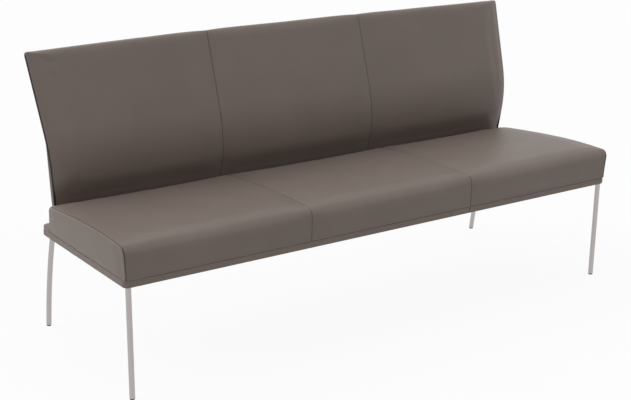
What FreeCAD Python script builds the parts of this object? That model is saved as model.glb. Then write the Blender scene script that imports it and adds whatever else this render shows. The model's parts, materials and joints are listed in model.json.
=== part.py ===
import FreeCAD, Part
import math
import os

# Dining banquette: a leather bench for three with a slim leaning back, on four round steel legs.
# Millimetres. +Z up, +X along the bench, +Y to the rear. The origin is on the floor, under the
# middle of the bench. "Left" is the -X end, which is on the left for someone facing the bench.

V = FreeCAD.Vector
UP = V(0, 0, 1)
ALONG = V(1, 0, 0)

# Overall sizes
SEAT_LENGTH = 1800.0        # over the two end panels
OVERALL_DEPTH = 650.0       # front of the seat to the back of the rear feet
SEAT_HEIGHT = 458.0         # floor to the crown of the seat
BASE_HEIGHT = 331.0         # floor to the underside of the base
BACK_HEIGHT = 887.0         # floor to the front top edge of the back, before it is rounded

# Sheet goods and clearances
LEATHER = 1.4
FELT = 3.0
DUST_CLOTH = 0.8
SOFT_GAP = 0.3              # room between a soft piece and its neighbour
HOLE_ROOM = 0.6             # how much wider than its bolt a hole is

# Base: steel rails, plywood strips under them and a leather band round them
BAND_SET_BACK = 5.0         # how far the band lies behind the front of the seat
BAND_END_SET_BACK = 5.0     # and inside its ends
BASE_CORNER = 16.0
LEDGE = 5.0                 # how far the base reaches behind the back
HEM = 24.0                  # leather turned in under the base
DUST_INSET = 8.0            # band face to the edge of the dust cloth
RAIL_HEIGHT = 20.0
RAIL_WIDTH = 40.0
PAD_BEARING = 26.0          # how much of the pad's depth the rear rail carries
RAIL_WALL = 2.0
STRIP_THICKNESS = 6.0
STRIP_WIDTH = 38.0
STRIP_ROOM = 1.0            # between a strip and the leg plate beside it

# Legs
LEG_DIAMETER = 16.0
LEG_WALL = 2.0
LEG_MARGIN = 4.0            # leg to the long face of the band, at the top of the leg
FRONT_LEG_END_MARGIN = 7.0  # leg to the end of the band
REAR_LEG_END_MARGIN = 21.0
FRONT_LEG_RAKE = 6.0        # how far the front foot stands behind the top of its leg
REAR_LEG_BOW = 10.0         # how far the rear leg swells behind a straight line
GLIDE_DIAMETER = 14.0
GLIDE_HEIGHT = 4.0
GLIDE_STEM = 14.0
GLIDE_FIT = 0.6             # room round the stem
LEG_BOLT = 6.0
LEG_BOLT_PITCH = 38.0       # along the bench, from the leg's axis
LEG_BOLT_EDGE = 10.0        # bolt axis to the inner edge of the rail, and to the end of the plate
BOLT_HEAD = 4.0
HEAD_REACH = 0.95           # corner of a bolt head or nut, in bolt diameters from its axis
NUT_HEIGHT = 5.0

# Seat springs and felt
SPRING_COUNT = 12
SPRING_PITCH = 27.0         # from row to row, or a little more
SPRING_WIRE = 3.8
SPRING_HALF_WIDTH = 25.0
SPRING_FIT = 0.2
CLIP_LENGTH = 24.0
CLIP_WIDTH = 14.0
CLIP_WALL = 1.5
CLIP_EDGE = 2.0             # clip to the edge of its rail, and to the edge of the felt
FELT_EDGE = 20.0            # foam left at the ends of the felt

# Seat pad
PAD_DEPTH = 515.0
PAD_EDGE_RADIUS = 42.0
PAD_REAR_RADIUS = 14.0
PAD_UNDERCUT = 6.0          # how far the front face draws in towards the base
PAD_FRONT_FALL = 5.0        # from the crown down to the front edge
PAD_REAR_FALL = 20.0        # from the crown down to the rear edge
PAD_CROWN_SET_BACK = 220.0
SEAM_DIP = 3.0              # how deep the pad is drawn in at a seam
END_DIP = 8.0               # and at its ends
END_BULGE = 5.0             # how far an end panel swells
END_BULGE_EDGE = 12.0       # width of the rounded border of an end panel
FRONT_DRAW = 0.5            # the front is drawn in by this part of the dip

# Back, a bent slab: a straight foot, a round lumbar and a straight top
BACK_END_INSET = 34.0       # end of the seat to the end of the back, at its foot
BACK_FLARE = 2.7            # degrees that each end leans outwards
BACK_OVERHANG = 12.0        # how far the waist stands in front of the rear of the pad
BACK_WAIST_RISE = 82.0      # crown of the seat up to the waist
BACK_LUMBAR_RADIUS = 380.0
BACK_FOOT_LEAN = 8.0        # degrees
BACK_LEAN = 17.0            # degrees
BACK_EDGE_RADIUS = 13.0
BACK_CROWN = 5.0            # swell of each panel between its seams
BACK_SEAM_SHIFT = -12.0     # how far off centre the middle panel is sewn
BACK_REAR_CROWN = 2.0
BACK_TOP_CROWN = 3.0
CROWN_RISE = 10.0           # rear edge of the pad up to where the swell begins
FRONT_FOAM = 18.0
REAR_FOAM = 4.6
BACK_FOAM_START = 20.0      # above the base
WEBBING = 2.0
WEBBING_WIDTH = 50.0
WEBBING_PITCH = 70.0        # from strap to strap, or a little more
WEBBING_DROP = 8.0          # lowest strap to the start of the round lumbar
WELT_WIDTH = 7.0
WELT_REAR = 2.0             # how far the welt stays in front of the rear panel's inner face
UPRIGHT_WIDTH = 25.0
UPRIGHT_DEPTH = 12.0
UPRIGHT_WALL = 1.5
UPRIGHT_END_ROOM = 6.0      # inside of the end leather to the outer foot plate
TOP_RAIL_HEIGHT = 25.0
TOP_RAIL_ROOM = 5.0         # between the top rail and the leather over it
FOOT_PLATE_MARGIN = 1.0     # bolt head to the end of the foot plate
FOOT_PLATE_THICKNESS = 5.0
BACK_BOLT = 8.0

# Staples
STAPLE_PITCH = 90.0
STAPLE_CROWN = 10.0
STAPLE_WIRE = 1.0
STAPLE_BITE = 3.0           # how far a staple goes into its strip
STAPLE_INSET = 15.0         # band face to the row of staples

# Where the dip of a panel is felt: part of the way across it, and part of the dip there
PANEL_STATIONS = ((0.0, 1.0), (0.12, 0.35), (0.5, 0.0), (0.88, 0.35), (1.0, 1.0))

# Places that follow from the sizes above
FRONT = -OVERALL_DEPTH / 2
BAND_FRONT = FRONT + BAND_SET_BACK
BAND_END = SEAT_LENGTH / 2 - BAND_END_SET_BACK
STRIP_Z = BASE_HEIGHT + LEATHER
RAIL_Z = STRIP_Z + STRIP_THICKNESS
BASE_TOP = RAIL_Z + RAIL_HEIGHT
PAD_END = SEAT_LENGTH / 2 - END_BULGE
PAD_REAR = FRONT + PAD_DEPTH
SEAT_SEAM = SEAT_LENGTH / 6
BACK_LENGTH = SEAT_LENGTH - 2 * BACK_END_INSET
BACK_WAIST = PAD_REAR - BACK_OVERHANG
BACK_WAIST_HEIGHT = SEAT_HEIGHT + BACK_WAIST_RISE
CROWN_START = SEAT_HEIGHT - PAD_REAR_FALL + CROWN_RISE
BACK_THICKNESS = 2 * LEATHER + FRONT_FOAM + WEBBING + UPRIGHT_DEPTH + REAR_FOAM + 4 * SOFT_GAP
WEBBING_DEPTH = LEATHER + FRONT_FOAM + 2 * SOFT_GAP
UPRIGHT_FRONT = WEBBING_DEPTH + WEBBING
UPRIGHT_REAR = UPRIGHT_FRONT + UPRIGHT_DEPTH
LEAN = math.radians(BACK_LEAN)
FOOT_LEAN = math.radians(BACK_FOOT_LEAN)
FLARE = math.tan(math.radians(BACK_FLARE))
BACK_FOOT_Z = BASE_TOP + SOFT_GAP
BACK_SEAM = (BACK_LENGTH / 2 + FLARE * (BACK_WAIST_HEIGHT - BACK_FOOT_Z)) / 3
SIDES = (("left", -1), ("right", 1))
PANELS = ("left", "middle", "right")


def back_turn(depth, angle):
    """Point of the round lumbar, at a depth behind its face and an angle above the waist."""
    radius = BACK_LUMBAR_RADIUS - depth
    y = BACK_WAIST + BACK_LUMBAR_RADIUS - radius * math.cos(angle)
    return y, BACK_WAIST_HEIGHT + radius * math.sin(angle)


def back_at(depth, height):
    """Point of the straight foot of the back, at a depth behind its face and at a height."""
    y, z = back_turn(depth, -FOOT_LEAN)
    return y + (z - height) * math.tan(FOOT_LEAN), height


def back_up(depth, length):
    """Point at a depth behind the face, at a length up the straight top of the back."""
    y, z = back_turn(depth, LEAN)
    return y + length * math.sin(LEAN), z + length * math.cos(LEAN)


def back_round(depth, upwards=True):
    """Middle and end of the round lumbar at a depth."""
    middle = back_turn(depth, (LEAN - FOOT_LEAN) / 2)
    return middle, back_turn(depth, LEAN if upwards else -FOOT_LEAN)


# Places that follow from the line of the back
TOP_LENGTH = (BACK_HEIGHT - back_turn(0, LEAN)[1]) / math.cos(LEAN)
BAND_REAR = back_at(BACK_THICKNESS, BASE_TOP)[0] + LEDGE
RAIL_FRONT = BAND_FRONT + LEATHER
RAIL_REAR = BAND_REAR - LEATHER
RAIL_END = BAND_END - LEATHER
FRONT_RAIL_INSIDE = RAIL_FRONT + RAIL_WIDTH
REAR_RAIL_INSIDE = PAD_REAR - PAD_BEARING
SPRING_FRONT = FRONT_RAIL_INSIDE - CLIP_EDGE - CLIP_WIDTH / 2
SPRING_REAR = REAR_RAIL_INSIDE + CLIP_EDGE + CLIP_WIDTH / 2
SPRING_Z = BASE_TOP + CLIP_WALL + SPRING_FIT + SPRING_WIRE / 2
CLIP_TOP = SPRING_Z + SPRING_WIRE / 2 + SPRING_FIT + CLIP_WALL
FELT_Z = CLIP_TOP + SOFT_GAP
FOOT_PLATE_FRONT = back_at(LEATHER + SOFT_GAP, BASE_TOP)[0]
FOOT_PLATE_REAR = back_at(BACK_THICKNESS - LEATHER - SOFT_GAP, BASE_TOP + FOOT_PLATE_THICKNESS)[0]
BACK_BOLT_Y = (FOOT_PLATE_FRONT + FOOT_PLATE_REAR) / 2
BACK_BOLT_HALF = UPRIGHT_WIDTH / 2 + BACK_BOLT
FOOT_PLATE_HALF = BACK_BOLT_HALF + BACK_BOLT * HEAD_REACH + FOOT_PLATE_MARGIN


def box(x0, x1, y0, y1, z0, z1):
    """Box between three pairs of limits."""
    return Part.makeBox(x1 - x0, y1 - y0, z1 - z0, V(x0, y0, z0))


def outline(points, place):
    """Closed wire. A point is the end of a straight edge, a pair of points is a round edge."""
    edges = []
    here = points[0]
    for step in list(points[1:]) + [points[0]]:
        if isinstance(step[0], tuple):
            middle, end = step
            edges.append(Part.Arc(place(here), place(middle), place(end)).toShape())
        else:
            end = step
            edges.append(Part.LineSegment(place(here), place(end)).toShape())
        here = end
    return Part.Wire(edges)


def upright_plane(x):
    """Places a (depth, height) point in the plane across the bench at x."""
    return lambda point: V(x, point[0], point[1])


def level_plane(z):
    """Places an (x, y) point in the level plane at z."""
    return lambda point: V(point[0], point[1], z)


def quarter(corner, first, second, radius):
    """Start, middle and end of a quarter round. first and second lead away from the corner."""
    start = tuple(c + radius * a for c, a in zip(corner, first))
    end = tuple(c + radius * b for c, b in zip(corner, second))
    inset = radius * (1 - math.sqrt(0.5))
    middle = tuple(c + inset * (a + b) for c, a, b in zip(corner, first, second))
    return start, (middle, end)


def loft(sections):
    """Smooth solid through closed wires."""
    return Part.makeLoft(sections, True, False)


def fuse(shapes):
    """One solid from solids that share faces."""
    return shapes[0].multiFuse(shapes[1:]).removeSplitter()


def group(shapes):
    """Separate solids kept in one node."""
    return Part.makeCompound(shapes)


def panel_stations(left, right, left_dip, right_dip):
    """Places across a panel, with the dip at each."""
    stations = []
    for way, share in PANEL_STATIONS:
        dip = share * (left_dip if way < 0.5 else right_dip)
        stations.append((left + way * (right - left), dip))
    return stations


def base_prism(inset, z0, z1):
    """The round-cornered plan of the base, drawn in by inset, between two heights."""
    end = BAND_END - inset
    front = BAND_FRONT + inset
    rear = BAND_REAR - inset
    radius = BASE_CORNER - inset
    corners = (
        ((-end, front), (0, 1), (1, 0)),
        ((end, front), (-1, 0), (0, 1)),
        ((end, rear), (0, -1), (-1, 0)),
        ((-end, rear), (1, 0), (0, -1)),
    )
    points = []
    for corner, first, second in corners:
        points.extend(quarter(corner, first, second, radius))
    plan = Part.Face(outline(points, level_plane(z0)))
    return plan.extrude(V(0, 0, z1 - z0))


def tube_between(x0, x1, y0, y1, open_along):
    """Rectangular rail of the base, hollow along x or y."""
    wall_x, wall_y = (0, RAIL_WALL) if open_along == "x" else (RAIL_WALL, 0)
    outside = box(x0, x1, y0, y1, RAIL_Z, BASE_TOP)
    hollow = box(x0 + wall_x, x1 - wall_x, y0 + wall_y, y1 - wall_y, RAIL_Z + RAIL_WALL, BASE_TOP - RAIL_WALL)
    return outside.cut(hollow)


def leg_top(row, side):
    """Where a leg's axis meets the underside of its plate."""
    radius = LEG_DIAMETER / 2
    if row == "front":
        return V(side * (BAND_END - FRONT_LEG_END_MARGIN - radius), BAND_FRONT + LEG_MARGIN + radius, STRIP_Z)
    return V(side * (BAND_END - REAR_LEG_END_MARGIN - radius), BAND_REAR - LEG_MARGIN - radius, STRIP_Z)


def leg_foot(row, side):
    """Where a leg's axis meets the floor."""
    top = leg_top(row, side)
    if row == "front":
        return V(top.x, top.y + FRONT_LEG_RAKE, 0)
    return V(top.x, OVERALL_DEPTH / 2 - LEG_DIAMETER / 2, 0)


def leg_path(row, side):
    """Axis of a leg, past both of its ends, and its direction at the foot."""
    foot = leg_foot(row, side)
    top = leg_top(row, side)
    reach = LEG_DIAMETER
    if row == "front":
        run = (top - foot).normalize()
        path = Part.LineSegment(foot - run * reach, top + run * reach).toShape()
        return Part.Wire([path]), run
    across = (top - foot).cross(ALONG).normalize()
    if across.y < 0:
        across = across * -1
    arc = Part.Arc(foot, (foot + top) * 0.5 + across * REAR_LEG_BOW, top)
    start = arc.tangent(arc.FirstParameter)[0]
    finish = arc.tangent(arc.LastParameter)[0]
    edges = [
        Part.LineSegment(foot - start * reach, foot).toShape(),
        arc.toShape(),
        Part.LineSegment(top, top + finish * reach).toShape(),
    ]
    return Part.Wire(edges), start


def pipe(path, run, radius):
    """Round bar along a path that starts in the direction run."""
    start = path.OrderedVertexes[0].Point
    ring = Part.Wire(Part.makeCircle(radius, start, run))
    return path.makePipeShell([ring], True, False)


def leg(row, side):
    """Round tube, cut level at the plate and at the glide."""
    path, run = leg_path(row, side)
    tube = pipe(path, run, LEG_DIAMETER / 2).cut(pipe(path, run, LEG_DIAMETER / 2 - LEG_WALL))
    x = leg_foot(row, side).x
    reach = LEG_DIAMETER
    return tube.common(box(x - reach, x + reach, -OVERALL_DEPTH, OVERALL_DEPTH, GLIDE_HEIGHT, STRIP_Z))


def glide(row, side):
    """Plastic foot with a stem that fills the end of the leg."""
    path, run = leg_path(row, side)
    foot = leg_foot(row, side)
    pad = Part.makeCylinder(GLIDE_DIAMETER / 2, GLIDE_HEIGHT, foot)
    stem = pipe(path, run, LEG_DIAMETER / 2 - LEG_WALL - GLIDE_FIT)
    reach = LEG_DIAMETER
    room = box(foot.x - reach, foot.x + reach, foot.y - reach, foot.y + reach, GLIDE_HEIGHT / 2,
               GLIDE_HEIGHT + GLIDE_STEM)
    return pad.fuse(stem.common(room)).removeSplitter()


def leg_bolt_places(row, side):
    """Centres of the three bolts of a leg plate."""
    top = leg_top(row, side)
    x0, x1, y0, y1 = leg_plate_limits(row, side)
    inner = y1 - LEG_BOLT_EDGE if row == "front" else y0 + LEG_BOLT_EDGE
    far = top.x - side * LEG_BOLT_PITCH
    return (top.x, inner), (far, top.y), (far, inner)


def leg_plate_limits(row, side):
    """Limits in x and y of a leg plate, under the corner of the base."""
    outer = side * RAIL_END
    inner = leg_top(row, side).x - side * (LEG_BOLT_PITCH + LEG_BOLT_EDGE)
    y0 = RAIL_FRONT if row == "front" else RAIL_REAR - RAIL_WIDTH
    return min(outer, inner), max(outer, inner), y0, y0 + RAIL_WIDTH


def bolt_holes(places, diameter, z0, z1):
    """Round bars that cut holes at several places."""
    return [Part.makeCylinder(diameter / 2, z1 - z0, V(x, y, z0)) for x, y in places]


def leg_plate(row, side):
    """Steel plate welded to the top of a leg."""
    x0, x1, y0, y1 = leg_plate_limits(row, side)
    plate = box(x0, x1, y0, y1, STRIP_Z, RAIL_Z)
    plate = plate.common(base_prism(LEATHER, STRIP_Z, RAIL_Z))
    return plate.cut(bolt_holes(leg_bolt_places(row, side), LEG_BOLT + HOLE_ROOM, STRIP_Z, RAIL_Z))


def bolt(x, y, z, diameter, length, turn):
    """Hexagon bolt. Its head sits on z and its shank goes up (turn 1) or down (turn -1)."""
    shank = Part.makeCylinder(diameter / 2, length, V(x, y, z), UP * turn)
    return hexagon(x, y, z, diameter, BOLT_HEAD, -turn).fuse(shank).removeSplitter()


def hexagon(x, y, z, diameter, height, turn):
    """Hexagon prism of the width that goes with a thread diameter."""
    reach = diameter * HEAD_REACH
    turns = [corner * math.pi / 3 for corner in range(6)]
    points = [V(x + reach * math.cos(a), y + reach * math.sin(a), z) for a in turns]
    return Part.Face(Part.makePolygon(points + points[:1])).extrude(UP * (turn * height))


def nut(x, y, z, diameter, turn):
    """Weld nut that stands up (turn 1) or hangs down (turn -1) from z."""
    bore = Part.makeCylinder(diameter / 2, NUT_HEIGHT, V(x, y, z), UP * turn)
    return hexagon(x, y, z, diameter, NUT_HEIGHT, turn).cut(bore)


def corners():
    """Each leg's place: its row, its side's name and its side."""
    return [(row, name, side) for row in ("front", "rear") for name, side in SIDES]


def build_legs(parts):
    """Legs, plates, glides and their fasteners."""
    bolts = []
    nuts = []
    for row, name, side in corners():
        parts[f"{row}_{name}_leg"] = leg(row, side)
        parts[f"{row}_{name}_leg_plate"] = leg_plate(row, side)
        parts[f"{row}_{name}_glide"] = glide(row, side)
        for x, y in leg_bolt_places(row, side):
            reach = STRIP_THICKNESS + RAIL_WALL + NUT_HEIGHT
            bolts.append(bolt(x, y, STRIP_Z, LEG_BOLT, reach, 1))
            nuts.append(nut(x, y, RAIL_Z + RAIL_WALL, LEG_BOLT, 1))
    parts["leg_bolts"] = group(bolts)
    parts["leg_weld_nuts"] = group(nuts)


def strip_ends():
    """Where the strips stop short of the leg plates: along the bench, then at the front and rear."""
    rear_inner, _, rear_low, _ = leg_plate_limits("rear", 1)
    front_high = leg_plate_limits("front", 1)[3]
    return rear_inner - STRIP_ROOM, front_high + STRIP_ROOM, rear_low - STRIP_ROOM


def build_base_frame(parts):
    """Welded steel rails, and the plywood strips that the covers are stapled to."""
    corner = base_prism(LEATHER, RAIL_Z, BASE_TOP)
    leg_holes = []
    for row, name, side in corners():
        leg_holes += bolt_holes(leg_bolt_places(row, side), LEG_BOLT + HOLE_ROOM, RAIL_Z, RAIL_Z + RAIL_WALL)
    back_holes = bolt_holes(back_bolt_places(), BACK_BOLT + HOLE_ROOM, BASE_TOP - RAIL_WALL, BASE_TOP)
    front = tube_between(-RAIL_END, RAIL_END, RAIL_FRONT, FRONT_RAIL_INSIDE, "x")
    rear = tube_between(-RAIL_END, RAIL_END, REAR_RAIL_INSIDE, RAIL_REAR, "x")
    parts["front_rail"] = front.common(corner).cut(leg_holes)
    parts["rear_rail"] = rear.common(corner).cut(leg_holes + back_holes)
    for name, side in SIDES:
        outer = sorted((side * RAIL_END, side * (RAIL_END - RAIL_WIDTH)))
        cross = (side * SEAT_SEAM - RAIL_WIDTH / 2, side * SEAT_SEAM + RAIL_WIDTH / 2)
        parts[f"{name}_end_rail"] = tube_between(*outer, FRONT_RAIL_INSIDE, REAR_RAIL_INSIDE, "y")
        parts[f"{name}_cross_rail"] = tube_between(*cross, FRONT_RAIL_INSIDE, REAR_RAIL_INSIDE, "y")
    long_end, low, high = strip_ends()
    strips = {
        "front": (-long_end, long_end, RAIL_FRONT, RAIL_FRONT + STRIP_WIDTH),
        "rear": (-long_end, long_end, RAIL_REAR - STRIP_WIDTH, RAIL_REAR),
        "left": (-RAIL_END, STRIP_WIDTH - RAIL_END, low, high),
        "right": (RAIL_END - STRIP_WIDTH, RAIL_END, low, high),
    }
    for name, limits in strips.items():
        parts[f"{name}_tacking_strip"] = box(*limits, STRIP_Z, RAIL_Z)


def spring(x):
    """Sinuous wire spring from front to rear, with its rows across the bench."""
    turns = int((SPRING_REAR - SPRING_FRONT) // SPRING_PITCH)
    pitch = (SPRING_REAR - SPRING_FRONT) / turns
    edges = []
    for row in range(turns + 1):
        y = SPRING_FRONT + row * pitch
        side = 1 if row % 2 == 0 else -1
        start = V(x - side * SPRING_HALF_WIDTH, y, SPRING_Z)
        end = V(x + side * SPRING_HALF_WIDTH, y, SPRING_Z)
        edges.append(Part.LineSegment(start, end).toShape())
        if row < turns:
            middle = V(end.x + side * pitch / 2, y + pitch / 2, SPRING_Z)
            edges.append(Part.Arc(end, middle, end + V(0, pitch, 0)).toShape())
    return pipe(Part.Wire(edges), ALONG, SPRING_WIRE / 2)


def spring_clip(x, y):
    """Steel clip on a rail, with a bore for the end row of a spring."""
    block = box(x - CLIP_LENGTH / 2, x + CLIP_LENGTH / 2, y - CLIP_WIDTH / 2, y + CLIP_WIDTH / 2,
                BASE_TOP, CLIP_TOP)
    start = V(x - CLIP_LENGTH / 2, y, SPRING_Z)
    return block.cut(Part.makeCylinder(SPRING_WIRE / 2 + SPRING_FIT, CLIP_LENGTH, start, ALONG))


def build_suspension(parts):
    """Springs, their clips and the felt over them."""
    places = [SEAT_LENGTH * ((index + 0.5) / SPRING_COUNT - 0.5) for index in range(SPRING_COUNT)]
    parts["seat_springs"] = group([spring(x) for x in places])
    parts["spring_clips"] = group([spring_clip(x, y) for x in places for y in (SPRING_FRONT, SPRING_REAR)])
    parts["seat_felt"] = felt_block(0, FELT_Z, FELT_Z + FELT)


def felt_block(room, z0, z1):
    """Block of the felt's outline, with some room round it."""
    end = PAD_END - FELT_EDGE + room
    edge = CLIP_WIDTH / 2 + CLIP_EDGE + room
    return box(-end, end, SPRING_FRONT - edge, SPRING_REAR + edge, z0, z1)


def pad_section(x, dip, inset, bottom):
    """Outline of the seat pad across the bench at x."""
    front = FRONT + dip * FRONT_DRAW + inset
    rear = PAD_REAR - inset
    crown = SEAT_HEIGHT - dip - inset
    round_front = quarter((front, crown - PAD_FRONT_FALL), (0, -1), (1, 0), PAD_EDGE_RADIUS - inset)
    round_rear = quarter((rear, crown - PAD_REAR_FALL), (-1, 0), (0, -1), PAD_REAR_RADIUS - inset)
    points = [(front + PAD_UNDERCUT, bottom)]
    points += round_front
    points.append(((FRONT + PAD_CROWN_SET_BACK, crown), round_rear[0]))
    points.append(round_rear[1])
    points.append((rear, bottom))
    return outline(points, upright_plane(x))


def pad_panel(index, inset, bottom, shorten=0.0):
    """One third of the seat pad, drawn in by inset."""
    edges = (-PAD_END + shorten, -SEAT_SEAM, SEAT_SEAM, PAD_END - shorten)
    left_dip = END_DIP if index == 0 else SEAM_DIP
    right_dip = END_DIP if index == 2 else SEAM_DIP
    stations = panel_stations(edges[index], edges[index + 1], left_dip, right_dip)
    return loft([pad_section(x, dip, inset, bottom) for x, dip in stations])


def seat_end_panel(side):
    """End panel of the seat, swelling outwards inside a rounded border."""
    edge = pad_section(side * PAD_END, END_DIP, 0.0, BASE_TOP)
    face = pad_section(side * SEAT_LENGTH / 2, END_DIP, END_BULGE_EDGE, BASE_TOP + END_BULGE_EDGE)
    return Part.makeLoft([edge, face], True, True)


def build_seat(parts):
    """Foam and leather of the seat."""
    below = BASE_TOP - LEATHER
    foam = fuse([pad_panel(i, LEATHER + SOFT_GAP, BASE_TOP, SOFT_GAP) for i in range(3)])
    parts["seat_foam"] = foam.cut(felt_block(SOFT_GAP, below, FELT_Z + FELT + SOFT_GAP))
    for index, name in enumerate(PANELS):
        parts[f"seat_cover_{name}"] = pad_panel(index, 0.0, BASE_TOP).cut(pad_panel(index, LEATHER, below))
    for name, side in SIDES:
        parts[f"seat_end_panel_{name}"] = seat_end_panel(side)


def build_band(parts):
    """Leather band round the base, its hem, and the dust cloth under it."""
    floor = base_prism(0, BASE_HEIGHT, BASE_TOP).cut(base_prism(LEATHER, STRIP_Z, BASE_TOP))
    band = floor.cut(base_prism(HEM, BASE_HEIGHT, STRIP_Z))
    ledge = base_prism(0, BASE_TOP, BASE_TOP + LEATHER)
    pad_rear = PAD_REAR + SOFT_GAP
    ledge = ledge.cut(box(-BAND_END, BAND_END, BAND_FRONT, pad_rear, BASE_TOP, BASE_TOP + LEATHER))
    back_end = BACK_LENGTH / 2 + SOFT_GAP
    back_rear = back_at(BACK_THICKNESS, BASE_TOP)[0] + SOFT_GAP
    ledge = ledge.cut(box(-back_end, back_end, pad_rear, back_rear, BASE_TOP, BASE_TOP + LEATHER))
    notches = []
    for row, name, side in corners():
        x0, x1, y0, y1 = leg_plate_limits(row, side)
        notches.append(box(x0, x1, y0, y1, BASE_HEIGHT - DUST_CLOTH, STRIP_Z))
    tacks = [staple(*place) for place in staple_places()]
    band = band.cut(notches + tacks)
    front_cut = BAND_FRONT + HEM
    rear_cut = pad_rear
    low, high = BASE_HEIGHT, BASE_TOP + LEATHER
    parts["base_band_front"] = band.common(box(-BAND_END, BAND_END, BAND_FRONT, front_cut, low, high))
    parts["base_band_left"] = band.common(box(-BAND_END, 0, front_cut, rear_cut, low, high))
    parts["base_band_right"] = band.common(box(0, BAND_END, front_cut, rear_cut, low, high))
    rear_band = band.common(box(-BAND_END, BAND_END, rear_cut, BAND_REAR, low, high))
    parts["base_band_rear"] = rear_band.fuse(ledge).removeSplitter()
    cloth = base_prism(DUST_INSET, BASE_HEIGHT - DUST_CLOTH, BASE_HEIGHT).cut(notches + tacks)
    parts["dust_cover"] = cloth
    parts["dust_cover_staples"] = group(tacks)
    for name in ("front", "rear", "left", "right"):
        parts[f"{name}_tacking_strip"] = parts[f"{name}_tacking_strip"].cut(tacks)


def staple(x, y, along_x):
    """Staple from below, through the cloth and the hem into a strip."""
    z = BASE_HEIGHT - DUST_CLOTH
    half = STAPLE_CROWN / 2
    wire = STAPLE_WIRE / 2
    reach = STRIP_Z + STAPLE_BITE
    pieces = [box(-half, half, -wire, wire, z - STAPLE_WIRE, z)]
    for end in (-half + wire, half - wire):
        pieces.append(box(end - wire, end + wire, -wire, wire, z, reach))
    shape = fuse(pieces)
    if not along_x:
        shape.rotate(V(0, 0, 0), UP, 90)
    shape.translate(V(x, y, 0))
    return shape


def staple_places():
    """Staples in four rows, clear of the leg plates."""
    places = []
    long_end, low, high = strip_ends()
    count = int(2 * (long_end - STAPLE_CROWN) // STAPLE_PITCH)
    for index in range(count + 1):
        x = (index - count / 2) * STAPLE_PITCH
        places += [(x, y, True) for y in (BAND_FRONT + STAPLE_INSET, BAND_REAR - STAPLE_INSET)]
    count = int((high - low - 2 * STAPLE_CROWN) // STAPLE_PITCH)
    for index in range(count + 1):
        y = (low + high) / 2 + (index - count / 2) * STAPLE_PITCH
        places += [(x, y, False) for x in (STAPLE_INSET - BAND_END, BAND_END - STAPLE_INSET)]
    return places


def back_slice(front, rear, foot, top):
    """Points of the slab between two depths, from a foot height to a length up the top."""
    return [
        back_at(front, foot),
        back_turn(front, -FOOT_LEAN),
        back_round(front),
        back_up(front, top),
        back_up(rear, top),
        back_turn(rear, LEAN),
        back_round(rear, upwards=False),
        back_at(rear, foot),
    ]


def back_section(x, share, inset, foot):
    """Outline of the upholstered back across the bench. share is 0 at a seam and 1 at the crown."""
    front = inset - BACK_CROWN * share
    rear = BACK_THICKNESS - inset + BACK_REAR_CROWN * share
    top = TOP_LENGTH - inset + BACK_TOP_CROWN * share
    radius = BACK_EDGE_RADIUS - inset
    turn = radius * (1 - math.sqrt(0.5))
    front_round = (back_up(front + turn, top - turn), back_up(front + radius, top))
    rear_round = (back_up(rear - turn, top - turn), back_up(rear, top - radius))
    points = [
        back_at(inset, foot),
        back_at(inset, CROWN_START),
        back_turn(front, -FOOT_LEAN),
        back_round(front),
        back_up(front, top - radius),
        front_round,
        back_up(rear - radius, top),
        rear_round,
        back_turn(rear, LEAN),
        back_round(rear, upwards=False),
        back_at(BACK_THICKNESS - inset, CROWN_START),
        back_at(BACK_THICKNESS - inset, foot),
    ]
    return outline(points, upright_plane(x))


def pad_slice(x, front, rear, front_swell, rear_swell):
    """Outline of a foam pad of the back, with a swell on the face that the leather covers."""
    top = TOP_LENGTH - LEATHER - SOFT_GAP - BACK_EDGE_RADIUS
    foot = BASE_TOP + BACK_FOAM_START
    points = back_slice(front - front_swell, rear + rear_swell, foot, top)
    points[0] = back_at(front, foot)
    points[-1] = back_at(rear, foot)
    points.insert(1, back_at(front, CROWN_START))
    points.insert(len(points) - 1, back_at(rear, CROWN_START))
    return outline(points, upright_plane(x))


def back_panel(index, make_section, shorten):
    """One third of the back through the outlines that make_section gives, its end leaning out."""
    end = BACK_LENGTH / 2 - shorten
    edges = (-end, BACK_SEAM_SHIFT - BACK_SEAM, BACK_SEAM_SHIFT + BACK_SEAM, end)
    lean = (-BACK_FLARE, 0.0, 0.0, BACK_FLARE)
    sections = []
    for way, dip in panel_stations(0.0, 1.0, 1.0, 1.0):
        x = edges[index] + way * (edges[index + 1] - edges[index])
        section = make_section(x, 1 - dip)
        section.rotate(V(x, 0, BACK_FOOT_Z), V(0, 1, 0), lean[index] + way * (lean[index + 1] - lean[index]))
        sections.append(section)
    return loft(sections)


def behind(depth):
    """Everything behind a depth of the back."""
    far = BACK_LENGTH
    low = back_at(depth, BASE_HEIGHT)
    high = back_up(depth, TOP_LENGTH + BACK_THICKNESS)
    points = [
        low,
        back_turn(depth, -FOOT_LEAN),
        back_round(depth),
        high,
        (high[0] + far, high[1]),
        (high[0] + far, low[1]),
    ]
    face = Part.Face(outline(points, upright_plane(-far)))
    return face.extrude(V(2 * far, 0, 0))


def build_back_covers(parts):
    """Leather of the back: front panels, rear panels and the dark welt between them."""
    welt_front = BACK_THICKNESS - LEATHER - WELT_REAR - WELT_WIDTH
    welt_rear = welt_front + WELT_WIDTH
    welts = []
    for index, name in enumerate(PANELS):
        outside = back_panel(index, lambda x, share: back_section(x, share, 0.0, BACK_FOOT_Z), 0.0)
        below = BACK_FOOT_Z - LEATHER
        inside = back_panel(index, lambda x, share: back_section(x, share, LEATHER, below), LEATHER)
        skin = outside.cut(inside)
        parts[f"back_cover_{name}"] = skin.cut(behind(welt_front))
        parts[f"back_rear_cover_{name}"] = skin.common(behind(welt_rear))
        welts.append(skin.common(behind(welt_front)).cut(behind(welt_rear)))
    parts["back_edge_welt"] = fuse(welts)


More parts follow.
